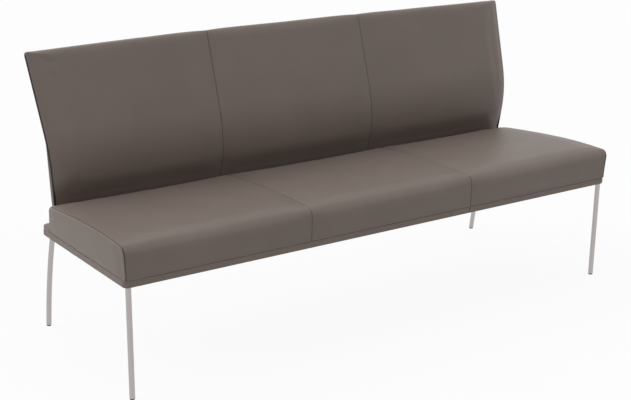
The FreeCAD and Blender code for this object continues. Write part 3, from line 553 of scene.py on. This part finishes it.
def seat_seam(name, x, gap, dip, material, fill=0.0):
    """Sewn edges of two seat panels, deep in the valley between them, less so at the foot by fill."""
    under = [(FRONT + PAD_UNDERCUT + SEAM_DEPTH, BASE_TOP), (SEAT_REAR - SEAM_DEPTH, BASE_TOP)]
    points, rounds = seat_outline([d + SEAM_DEPTH for d in dip], under)
    points[-1] = (FRONT + SEAM_DEPTH + dip[0] / 2, points[-1][1])
    bm = profile(points, x - gap / 2, rounds, PAD_PITCH)
    for vertex in bm.verts:
        front = smooth_step((FRONT + END_FILL_DEPTH - vertex.co.y) / END_FILL_FADE)
        low = 1 - smooth_step((vertex.co.z - BASE_TOP - END_FILL_FOOT) / END_FILL_RISE)
        vertex.co.y -= fill * front * low
        vertex.co.z += crown(vertex.co)
    draw_out(bm, gap, gap)
    for vertex in bm.verts:
        vertex.co.x += end_taper(vertex.co)
    finish_piece(name, bm, material)


def seat_end(name, side, nodes):
    """End panel of the seat: leather over thin foam, its border rolled over to the seam."""
    low = BASE_TOP - PAD_SKIRT
    under = [(FRONT + PAD_UNDERCUT, low), (PAD_REAR + END_REAR, low)]
    points, rounds = seat_outline([d + END_STEP for d in END_DIP[side]], under, END_LEAN)
    start = PAD_END + END_GAP / 2
    outer_face = start + 0.95 * END_WALL
    bm = profile(points, side * start - (END_WALL if side < 0 else 0), rounds, PAD_PITCH)
    for vertex in bm.verts:
        vertex.co.z += crown(vertex.co)
    draw_out(bm, END_WALL, END_WALL)
    roll_end(bm, side * (start + END_WALL), END_ROUND, 4)
    for normal, base, top in ((Vector((0, 1, 0)), FRONT, PAD_REAR), (Vector((0, 0, 1)), low, SEAT_TOP)):
        for step in range(1, int((top - base) / PAD_PITCH)):
            cut_across(bm, normal * (base + step * PAD_PITCH), normal)
    for vertex in bm.verts:
        if abs(vertex.co.x) > outer_face:
            across = min(vertex.co.y - FRONT, PAD_REAR - vertex.co.y)
            rise = smooth_step((vertex.co.z - low) / END_SWELL_FOOT)
            rise *= smooth_step((SEAT_TOP - vertex.co.z) / END_SWELL_TOP)
            vertex.co.x += side * END_SWELL * smooth_step(across / END_SWELL_SIDE) * rise
        sag, wave = base_line(vertex.co.y)
        share = 1 - smooth_step((vertex.co.z - low) / (SEAT_TOP - low))
        vertex.co.z += sag * share + wave * share ** 6
        vertex.co.x += end_taper(vertex.co)
    piece = finish_piece(name, bm, SEAT_LEATHER, nodes)


def back_turn(depth, angle):
    """Point of the round lumbar, at a depth behind its face and an angle above the waist."""
    radius = BACK_RADIUS - depth
    return WAIST_Y + BACK_RADIUS - radius * math.cos(angle), WAIST_Z + radius * math.sin(angle)


def back_place(depth, length):
    """Where a point of the flat slab, at a depth behind its face and a length up it, is on the bent back."""
    if length < FOOT_LENGTH:
        y, z = back_turn(depth, -BACK_FOOT_LEAN)
        down = length - FOOT_LENGTH - depth * math.tan(BACK_FOOT_LEAN) * (1 - length / FOOT_LENGTH)
        return y - down * math.sin(BACK_FOOT_LEAN), z + down * math.cos(BACK_FOOT_LEAN)
    if length < FOOT_LENGTH + LUMBAR_LENGTH:
        return back_turn(depth, (length - FOOT_LENGTH) / BACK_RADIUS - BACK_FOOT_LEAN)
    y, z = back_turn(depth, BACK_LEAN)
    up = length - FOOT_LENGTH - LUMBAR_LENGTH
    return y + up * math.sin(BACK_LEAN), z + up * math.cos(BACK_LEAN)


def bend_back(point):
    """Bends a point of the flat slab (x, depth, length) to its place, with the ends leaning outwards."""
    y, z = back_place(point.y, point.z)
    side = side_of(point.x)
    seam, end = abs(BACK_SEAMS[point.x > 0]), BACK_FOOT_END[side]
    outwards = max(0.0, (abs(point.x) - seam) / (end - seam))
    flare = (BACK_CREST_END[side] - end) / (BACK_CREST - BACK_FOOT)
    return Vector((point.x + side * outwards * (z - BACK_FOOT) * flare, y, z))


def back_outline(inset):
    """Corners of the flat slab of the back, drawn in by inset, and how they are rounded."""
    deep, long = BACK_THICKNESS - inset, BACK_LENGTH - inset
    points = [(inset, 0), (deep, 0), (deep, long), (inset, long)]
    return points, [(0, 0), (0, 0), (BACK_EDGE_RADIUS, 5), (BACK_EDGE_RADIUS, 5)]


def near_end(x, reach):
    """1 at either end of the flat slab, 0 farther from it than reach."""
    return max(0.0, 1 - (BACK_FOOT_END[side_of(x)] - abs(x)) / reach)


def near_top(length):
    """1 at the top of the flat slab, 0 below the stretch that counts as its top."""
    return smooth_step((length - BACK_LENGTH + BACK_TOP_REACH) / BACK_TOP_REACH)


def near_front(depth):
    """1 at the front of the flat slab, 0 at its rear."""
    return 1 - smooth_step(depth / BACK_THICKNESS)


def corner_droop(x, length):
    """How far the leather sinks near a top corner, at a length up the slab."""
    return CORNER_DROOP[side_of(x)] * near_end(x, CORNER_REACH) ** 1.5 * near_top(length)


def foot_tuck(point):
    """How far a point of the flat slab draws back where the front goes down behind the seat pad."""
    return BACK_TUCK * (1 - smooth_step((point.z - TUCK_FOOT) / TUCK_RISE)) * near_front(point.y)


def back_panel(name, left, right, nodes):
    """One third of the back: a closed pad made flat, blown up by its foam, then bent."""
    end = next((x for x in (left, right) if x not in BACK_SEAMS), None)
    left += SEAM_GAP / 2 if left != end else 0
    right -= SEAM_GAP / 2 if right != end else 0
    points, rounds = back_outline(0)
    bm = profile(points, left, rounds, PAD_PITCH)
    draw_out(bm, right - left, PAD_PITCH)
    if end:
        for step in range(1, BACK_END_CUTS):
            place = end - math.copysign(BACK_END_REACH * (step / BACK_END_CUTS) ** 2, end)
            cut_across(bm, (place, 0, 0), (1, 0, 0), BACK_CUT_MERGE)
    for vertex in bm.verts:
        co = vertex.co
        share = 1 - math.exp(-(co.x - left) / BACK_DIP_REACH) - math.exp(-(right - co.x) / BACK_DIP_REACH)
        up = smooth_step((co.z - SWELL_FOOT) / SWELL_RISE)
        co.y -= BACK_SWELL * share * up * near_front(co.y)
        co.z += BACK_TOP_SWELL * share * near_top(co.z)
        co.y += foot_tuck(co)
        if end:
            co.z -= corner_droop(co.x, co.z)
            deep = clamped(co.y / BACK_THICKNESS)
            rear_fall = BACK_REAR_FALL * smooth_step((co.z - REAR_FALL_FOOT) / REAR_FALL_RISE)
            co.y += near_end(co.x, BACK_END_REACH) ** 2 * (BACK_FRONT_FALL * (1 - deep) - rear_fall * deep)
        waves = Vector((co.x * BACK_UNEVEN_PER_METRE, 3.7, co.z * BACK_UNEVEN_PER_METRE))
        co.y += BACK_UNEVEN * up * noise.noise(waves)

    def sewn(point):
        at_edge = min(point.x - left, right - point.x) < SEWN_EDGE
        return at_edge or point.z < BACK_SEWN_FOOT

    def most(point):
        return BACK_LIFT_FRONT if point.y < BACK_THICKNESS / 2 else BACK_LIFT_REAR

    bm = stuff(name, bm, most, sewn)
    for x in (left, right):
        roll_end(bm, x, BACK_END_ROUND if x == end else SEAM_ROUND, 3)
    for vertex in bm.verts:
        vertex.co = bend_back(vertex.co)
    piece = finish_piece(name, bm, SEAT_LEATHER, nodes)


def back_seam(name, x):
    """Sewn edges of two back panels, deep in the valley between them. Their near-black colour is painted
    shade of the valley.
    """
    points, rounds = back_outline(SEAM_DEPTH)
    bm = profile(points, x - SEAM_GAP / 2, rounds, PAD_PITCH)
    draw_out(bm, SEAM_GAP, SEAM_GAP)
    for vertex in bm.verts:
        vertex.co.y += foot_tuck(vertex.co)
        vertex.co = bend_back(vertex.co)
    finish_piece(name, bm, SEAM_PAINTED_SHADE)


def welt_half(side):
    """Line of the piping on the flat slab, from one foot up the end and along the top to the middle."""
    end_depth = (BACK_FRONT_FALL + BACK_THICKNESS - BACK_REAR_FALL) / 2
    top_depth = BACK_THICKNESS - WELT_SET_BACK
    end = BACK_FOOT_END[side]
    top = BACK_LENGTH - WELT_SINK
    climb = top - WELT_TURN - WELT_START
    rise = [(end, WELT_START + i * climb / WELT_RISE_STEPS) for i in range(WELT_RISE_STEPS + 1)]
    bend = [(end - WELT_TURN + WELT_TURN * math.cos(a), top - WELT_TURN + WELT_TURN * math.sin(a))
            for a in map(math.radians, (30, 60, 90))]
    run = [((end - WELT_TURN) * (1 - i / WELT_RUN_STEPS), top) for i in range(1, WELT_RUN_STEPS)]
    half = []
    for x, length in rise + bend + run:
        drawn_in = near_end(side * x, BACK_END_REACH) ** 2
        depth = top_depth + (end_depth - top_depth) * drawn_in
        half.append(Vector((side * x, depth, length - corner_droop(side * x, length))))
    return half


def back_welt():
    """Dark leather piping up one end of the back, over its top and down the other end."""
    path = welt_half(-1) + welt_half(1)[::-1]
    curve = bpy.data.curves.new("back_edge_piping", "CURVE")
    curve.dimensions = "3D"
    curve.bevel_depth = WELT_RADIUS
    curve.bevel_resolution = 4
    curve.use_fill_caps = True
    line = curve.splines.new("POLY")
    line.points.add(len(path) - 1)
    for point, place in zip(line.points, path):
        point.co = (*bend_back(place), 1.0)
    holder = bpy.data.objects.new("piping_line", curve)
    bm = bmesh.new()
    bm.from_mesh(bpy.data.meshes.new_from_object(holder))
    bpy.data.objects.remove(holder)
    finish_piece("back_edge_piping", bm, WELT_LEATHER, ["back_edge_welt"])


def band_inset(co):
    """How far a point lies inside the plan of the band."""
    return min(BAND_END - abs(co.x), co.y - BAND_FRONT, BAND_REAR - co.y)


def band_outwards(co):
    """Which way is out, square to the face of the band."""
    core = Vector((min(max(co.x, BAND_CORNER - BAND_END), BAND_END - BAND_CORNER),
                   min(max(co.y, BAND_FRONT + BAND_CORNER), BAND_REAR - BAND_CORNER), 0))
    return (Vector((co.x, co.y, 0)) - core).normalized()


def band_relief(co, level, wave, at_end):
    """How far a point of the band's face stands out, at a level from 0 below to 1 above."""
    swell = BAND_BULGE + BAND_RIGHT_PUFF * at_end * (co.x > 0)
    bulge = swell * math.sqrt(max(0.0, math.sin(math.pi * level))) + PUCKER_BULGE * max(wave, 0.0)
    turned = BAND_EDGE_ROUND * max(0.0, 1 - level / BAND_TURN) ** 2
    from_corner = math.hypot(co.x + BAND_END, co.y - BAND_FRONT)
    smooth = 1 - smooth_step(from_corner / BAND_SMOOTH_REACH)
    tucked = BAND_LIP * (1 - smooth) * (1 + at_end) * max(0.0, (level - (1 - BAND_TURN)) / BAND_TURN) ** 2
    seam = BAND_SEAM_DEPTH if abs(co.x - SEAT_SEAM) < TOUCH and co.y < 0 else 0.0
    return bulge - turned - tucked - seam


def base_band():
    """Leather band pulled round the base: turned in above and below, puckered, with one seam in front."""
    bm = bmesh.new()
    corners = ((-BAND_END, BAND_FRONT), (BAND_END, BAND_FRONT), (BAND_END, BAND_REAR), (-BAND_END, BAND_REAR))
    bm.faces.new([bm.verts.new((x, y, BAND_FOOT)) for x, y in corners])
    round_off(bm, bm.verts[:], BAND_CORNER, 5, affect="VERTICES")
    shorten_edges(bm, BAND_PITCH)
    bmesh.ops.recalc_face_normals(bm, faces=bm.faces)
    hem = bmesh.ops.inset_region(bm, faces=bm.faces[:], thickness=BAND_HEM, use_even_offset=True,
                                 use_boundary=True)
    bmesh.ops.delete(bm, geom=[f for f in bm.faces if f not in hem["faces"]], context="FACES")
    rim = [e for e in bm.edges if e.is_boundary and max(band_inset(v.co) for v in e.verts) < BAND_HEM / 2]
    last = 0.0
    for level in BAND_LEVELS:
        grown = bmesh.ops.extrude_edge_only(bm, edges=rim)["geom"]
        verts = [g for g in grown if isinstance(g, bmesh.types.BMVert)]
        rim = [g for g in grown if isinstance(g, bmesh.types.BMEdge)]
        bmesh.ops.translate(bm, verts=verts, vec=(0, 0, (level - last) * BAND_HEIGHT))
        last = level
    for offset in (-BAND_SEAM_WIDTH, 0, BAND_SEAM_WIDTH):
        cut_across(bm, (SEAT_SEAM + offset, 0, 0), (1, 0, 0))
    for vertex in bm.verts:
        co = vertex.co
        level = clamped((co.z - BAND_FOOT) / BAND_HEIGHT)
        sag, wave = base_line(co.y)
        at_end = smooth_step((abs(co.x) - BAND_END + BAND_CORNER) / BAND_CORNER)
        wave = wave * at_end + (1 - at_end) * front_wave(co.x) * (co.y < 0)
        co.z += sag + wave * level ** 2
        if band_inset(co) <= BAND_HEM / 2:
            vertex.co += band_outwards(co) * band_relief(co, level, wave, at_end)
    piece = finish_piece("base_band", bm, SEAT_LEATHER,
                         ["base_band_front", "base_band_left", "base_band_right", "base_band_rear"])
    thicken(piece, "leather_thickness", LEATHER, -1)


def rear_ledge():
    """Leather drawn over the rear rail, between the seat pad and the rear of the band."""
    bm = bmesh.new()
    bmesh.ops.create_cube(bm, size=1)
    low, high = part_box("base_band_rear")
    size = Vector((high.x - low.x, high.y - low.y, LEDGE_SHARE * (high.z - low.z)))
    bmesh.ops.scale(bm, verts=bm.verts, vec=size)
    bmesh.ops.translate(bm, verts=bm.verts, vec=(0, (low.y + high.y) / 2, high.z - size.z / 2))
    rear = [e for e in bm.edges
            if all(v.co.y > high.y - MM for v in e.verts) and e.verts[0].co.x == e.verts[1].co.x]
    round_off(bm, rear, BAND_CORNER, 5)
    rim = [e for e in bm.edges if all(v.co.z > high.z - MM for v in e.verts)]
    round_off(bm, rim, LEDGE_ROUND, 4)
    finish_piece("base_rear_ledge", bm, SEAT_LEATHER)


def dust_sheet():
    """Spunbond cloth stretched under the base, sagging a little between its staples."""
    bm = bmesh.new()
    bmesh.ops.create_grid(bm, x_segments=60, y_segments=20, size=0.5)
    width, depth = DUST_HIGH.x - DUST_LOW.x, DUST_HIGH.y - DUST_LOW.y
    bmesh.ops.scale(bm, verts=bm.verts, vec=(width, depth, 1))
    for vertex in bm.verts:
        edge = min(width / 2 - abs(vertex.co.x), depth / 2 - abs(vertex.co.y))
        waves = CLOTH_UNEVEN * noise.noise(vertex.co * CLOTH_UNEVEN_PER_METRE)
        sag = CLOTH_SAG * smooth_step(edge / CLOTH_SAG_REACH) + waves
        vertex.co.z = -max(sag, 0.0)
    middle = (DUST_LOW + DUST_HIGH) / 2
    bmesh.ops.translate(bm, verts=bm.verts, vec=(middle.x, middle.y, DUST_HIGH.z - CLOTH_DROP))
    piece = finish_piece("dust_sheet", bm, DUST_CLOTH, ["dust_cover"])
    thicken(piece, "cloth_thickness", CLOTH, 0)


def dress_nodes():
    """Gives each node that stays the finish of its record slot."""
    finishes = {
        "leg_steel": LEG_STEEL, "frame_steel": FRAME_STEEL, "zinc": ZINC, "spring_steel": SPRING_STEEL,
        "glide_plastic": GLIDE_PLASTIC, "plywood": PLYWOOD,
    }
    for subpart in frame["record"]["subparts"]:
        node = frame["nodes"][subpart["node"]]
        finish = finishes.get(subpart["material_slot"])
        if finish and not node.hide_render:
            node.data.materials.clear()
            node.data.materials.append(finish)


def build_bench():
    """All the pieces of the bench."""
    seat_panel("seat_panel_left", -PAD_END, -SEAT_SEAM, END_DIP[-1], SEAM_DIP, ["seat_cover_left"])
    seat_panel("seat_panel_middle", -SEAT_SEAM, SEAT_SEAM, SEAM_DIP, SEAM_DIP,
               ["seat_cover_middle", "seat_foam", "seat_felt"])
    seat_panel("seat_panel_right", SEAT_SEAM, PAD_END, SEAM_DIP, END_DIP[1], ["seat_cover_right"])
    seat_end("seat_end_left", -1, ["seat_end_panel_left"])
    seat_end("seat_end_right", 1, ["seat_end_panel_right"])
    back_panel("back_panel_left", -BACK_FOOT_END[-1], BACK_SEAMS[0],
               ["back_cover_left", "back_rear_cover_left"])
    back_panel("back_panel_middle", BACK_SEAMS[0], BACK_SEAMS[1],
               ["back_cover_middle", "back_rear_cover_middle", "back_front_foam", "back_rear_foam",
                "back_webbing"])
    back_panel("back_panel_right", BACK_SEAMS[1], BACK_FOOT_END[1],
               ["back_cover_right", "back_rear_cover_right"])
    for name, side in (("left", -1), ("right", 1)):
        # The seams between the thirds get the near-black painted seam shade; the end seams are plain leather,
        # dark only by their valley
        seat_seam("seat_seam_" + name, side * SEAT_SEAM, SEAM_GAP, SEAM_DIP, SEAM_PAINTED_SHADE)
        seat_seam("seat_end_seam_" + name, side * PAD_END, END_GAP, END_DIP[side], SEAT_LEATHER, END_FILL)
        back_seam("back_seam_" + name, BACK_SEAMS[side > 0])
    back_welt()
    base_band()
    rear_ledge()
    dust_sheet()
    dress_nodes()


def far_light(name, source, strength, softness):
    """Large soft lamp so far off that it lights both ends of the bench alike."""
    lamp = bpy.data.lights.new(name, "SUN")
    lamp.energy = strength
    lamp.angle = math.radians(softness)
    holder = bpy.data.objects.new(name, lamp)
    holder.location = source
    holder.rotation_euler = (-Vector(source)).to_track_quat("-Z", "Y").to_euler()
    bpy.context.scene.collection.objects.link(holder)


def seen_directly(tree):
    """1 for rays from the camera and for those that a mirror or glass turns to it."""
    rays = add(tree, "ShaderNodeLightPath")
    glossy = add(tree, "ShaderNodeMath", {"operation": "MAXIMUM"}, _0=rays.outputs["Is Camera Ray"],
                 _1=rays.outputs["Is Glossy Ray"])
    return add(tree, "ShaderNodeMath", {"operation": "MAXIMUM"}, _0=glossy.outputs[0],
               _1=rays.outputs["Is Transmission Ray"]).outputs[0]


def white_world():
    """A world that looks white and lights the bench only a little."""
    world = bpy.data.worlds.new("studio")
    world.use_nodes = True
    tree = world.node_tree
    tree.nodes.clear()
    dim = add(tree, "ShaderNodeBackground", Color=linear("#ffffff"), Strength=WORLD_LIGHT)
    white = add(tree, "ShaderNodeBackground", Color=linear("#ffffff"), Strength=1.0)
    mix = add(tree, "ShaderNodeMixShader", _0=seen_directly(tree), _1=dim.outputs[0], _2=white.outputs[0])
    add(tree, "ShaderNodeOutputWorld", Surface=mix.outputs[0])
    bpy.context.scene.world = world


def pale_floor():
    """A floor painted matt white, which looks almost white and keeps a faint shadow."""
    bm = bmesh.new()
    bmesh.ops.create_grid(bm, x_segments=1, y_segments=1, size=FLOOR_HALF)
    mesh = bpy.data.meshes.new("studio_floor")
    bm.to_mesh(mesh)
    bm.free()
    floor = bpy.data.objects.new("studio_floor", mesh)
    bpy.context.scene.collection.objects.link(floor)
    paint = bpy.data.materials.new("matt_white_floor_paint")
    paint.use_nodes = True
    tree = paint.node_tree
    tree.nodes.clear()
    matt = add(tree, "ShaderNodeBsdfDiffuse", Color=linear("#e8e8e8"))
    glow = add(tree, "ShaderNodeEmission", Color=linear("#ffffff"), Strength=1.0)
    share = add(tree, "ShaderNodeMath", {"operation": "MULTIPLY"}, _0=seen_directly(tree), _1=FLOOR_GLOW)
    mix = add(tree, "ShaderNodeMixShader", _0=share.outputs[0], _1=matt.outputs[0], _2=glow.outputs[0])
    add(tree, "ShaderNodeOutputMaterial", Surface=mix.outputs[0])
    mesh.materials.append(paint)


def photo_camera():
    """The camera at the photograph's viewing angle."""
    lens = bpy.data.cameras.new("photo_camera")
    lens.sensor_width = CAMERA_SENSOR
    lens.lens = CAMERA_LENS
    camera = bpy.data.objects.new("photo_camera", lens)
    camera.location = CAMERA_PLACE
    camera.rotation_euler = Euler((math.radians(90 - CAMERA_PITCH), 0, math.radians(-CAMERA_YAW)))
    bpy.context.scene.collection.objects.link(camera)
    bpy.context.scene.camera = camera


def studio():
    """White studio: the world, the floor, soft lamps and the camera."""
    white_world()
    pale_floor()
    far_light("overhead_softbox", (-0.5, 2.0, 4.6), strength=1.2, softness=80)
    far_light("front_softbox", (0.5, -3.75, 3.3), strength=0.8, softness=60)
    far_light("left_high_softbox", (-3.0, 2.0, 3.5), strength=1.45, softness=60)
    far_light("left_low_softbox", (-4.9, -0.5, 0.5), strength=0.4, softness=50)
    far_light("right_softbox", (4.3, -1.5, 2.3), strength=0.4, softness=60)
    photo_camera()
    bpy.context.scene.view_settings.view_transform = "Standard"


build_bench()
studio()
bpy.context.view_layer.update()
